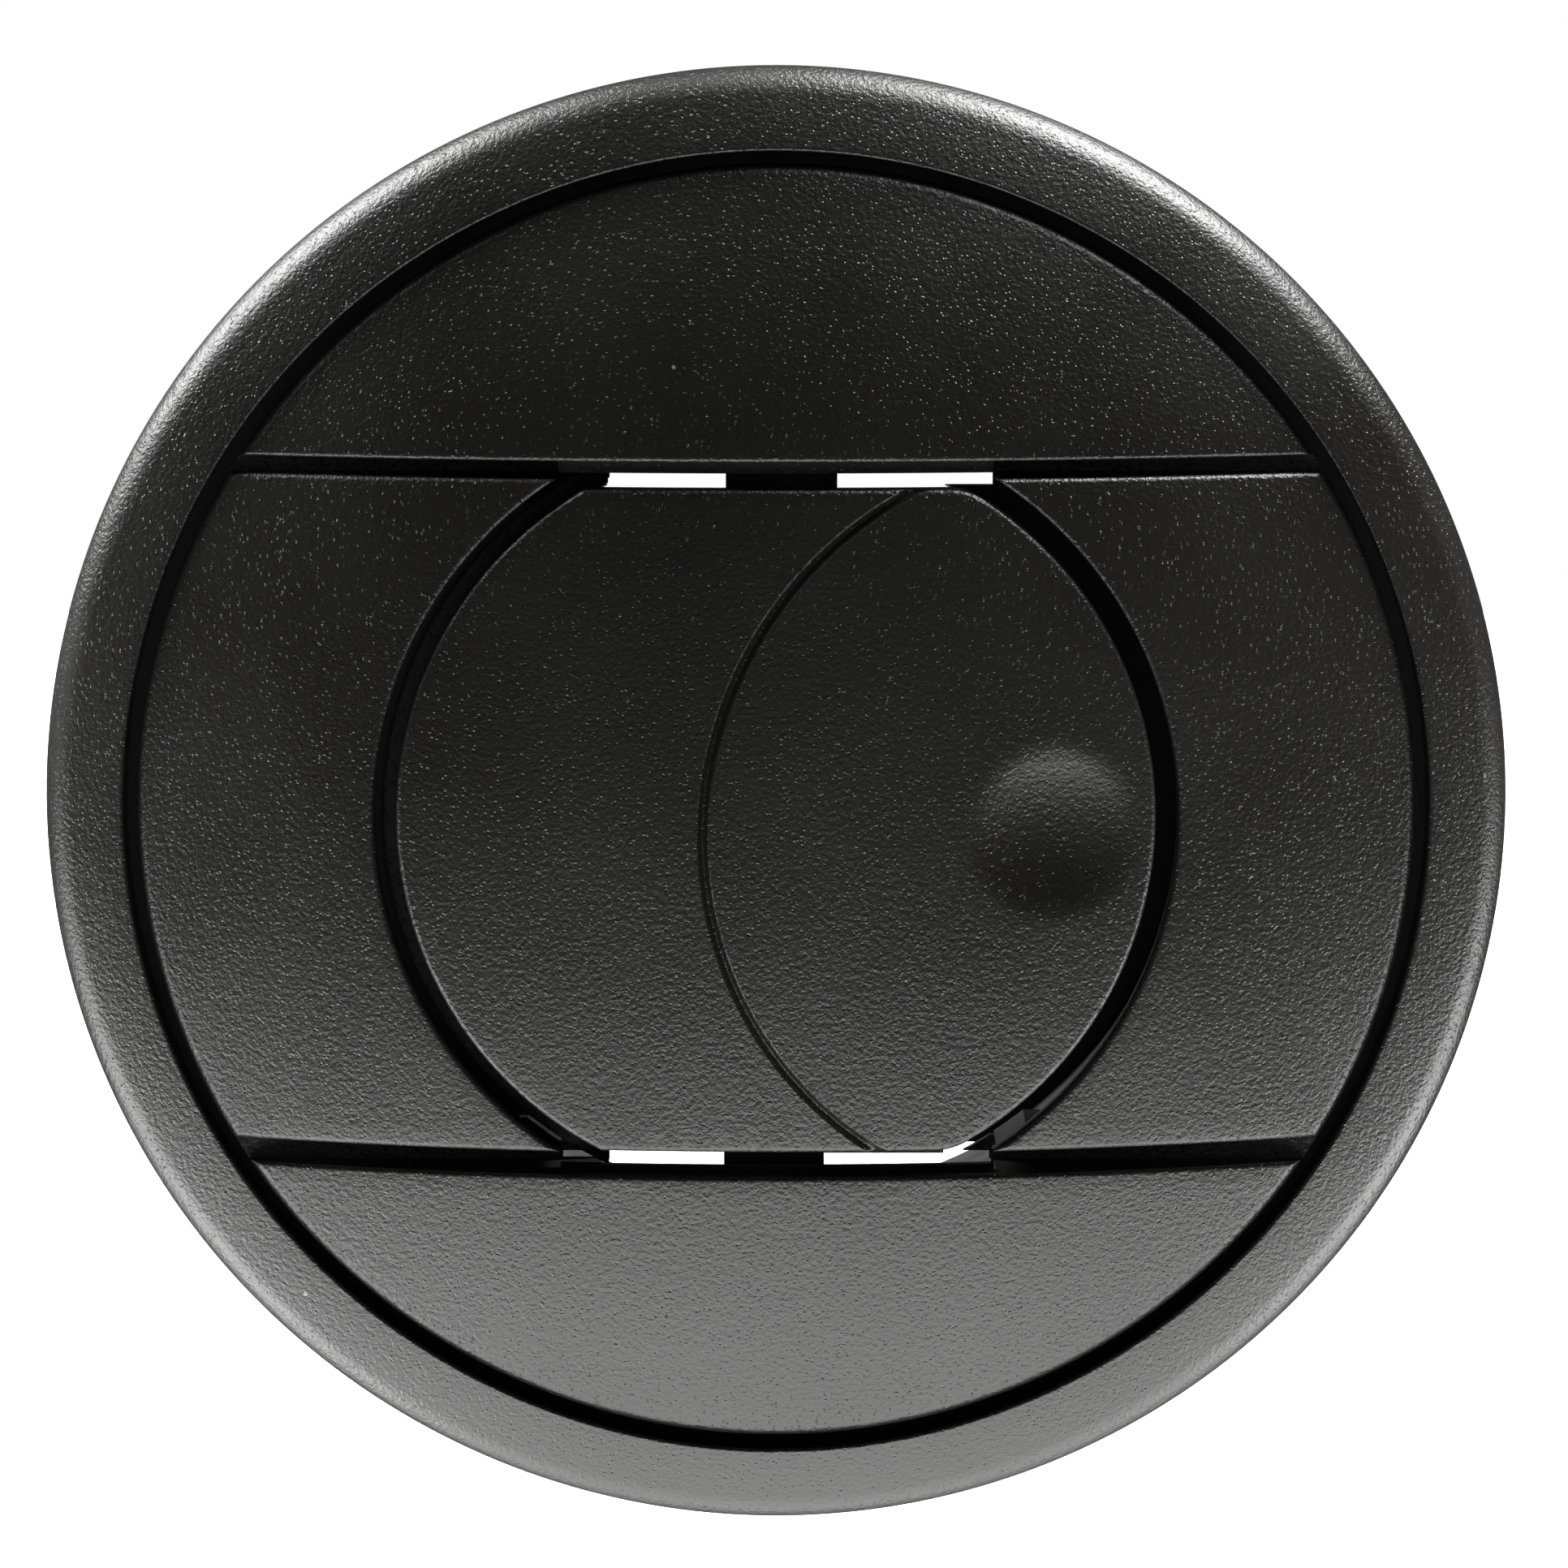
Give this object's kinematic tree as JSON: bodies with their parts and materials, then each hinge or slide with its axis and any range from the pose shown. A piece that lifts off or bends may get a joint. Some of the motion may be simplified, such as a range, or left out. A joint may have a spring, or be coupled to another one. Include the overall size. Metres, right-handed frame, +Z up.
{
  "type": "rotatable air outlet",
  "caption": "Round black domed air outlet with a turning front, a butterfly closing flap with a thumb dimple, and a rear spigot for warm-air duct.",
  "frame": {"origin": "centre of the panel cut-out, in the plane of the panel's front face, which the back of the trim ring and gasket lies on", "axes": "+Y into the panel along the duct, -Y towards the room, +Z up, +X to the right as seen from the room"},
  "size_m": [0.092, 0.0345, 0.092],
  "materials": {
    "grained_black": "fine moulded grain, satin",
    "plain_black": "plain moulded, satin",
    "natural_nylon": "natural, slightly translucent",
    "foam": "closed-cell foam",
    "felt": "pressed felt",
    "soft_washer": "matte rubber",
    "zinc_steel": "bright zinc plate"
  },
  "bodies": {
    "housing": {"bezel_ring": "grained_black", "mounting_base": "plain_black", "panel_gasket": "foam", "spin_felt_ring": "felt", "panel_screw_1": "zinc_steel", "panel_screw_2": "zinc_steel", "panel_screw_3": "zinc_steel", "panel_screw_4": "zinc_steel"},
    "rotor": {"rotor_dome": "grained_black", "rotor_core": "plain_black", "retaining_ring": "natural_nylon", "closing_seal": "foam", "core_screw_1": "zinc_steel", "core_screw_2": "zinc_steel", "core_screw_3": "zinc_steel", "core_screw_4": "zinc_steel", "pivot_bush_upper": "plain_black", "pivot_bush_lower": "plain_black"},
    "flap": {"flap_face": "grained_black", "flap_frame": "plain_black", "flap_screw_1": "zinc_steel", "flap_screw_2": "zinc_steel", "pivot_pin_upper": "zinc_steel", "pivot_pin_lower": "zinc_steel", "friction_washer_upper": "soft_washer", "friction_washer_lower": "soft_washer"}
  },
  "joints": [
    {"name": "rotor_spin", "type": "hinge", "parent": "housing", "child": "rotor", "pos_m": [0, 0, 0], "axis": [0, 1, 0], "continuous": true},
    {"name": "flap_tilt", "type": "hinge", "parent": "rotor", "child": "flap", "pos_m": [0, -0.007, 0], "axis": [0, 0, 1], "range_deg": [0, 85]}
  ]
}
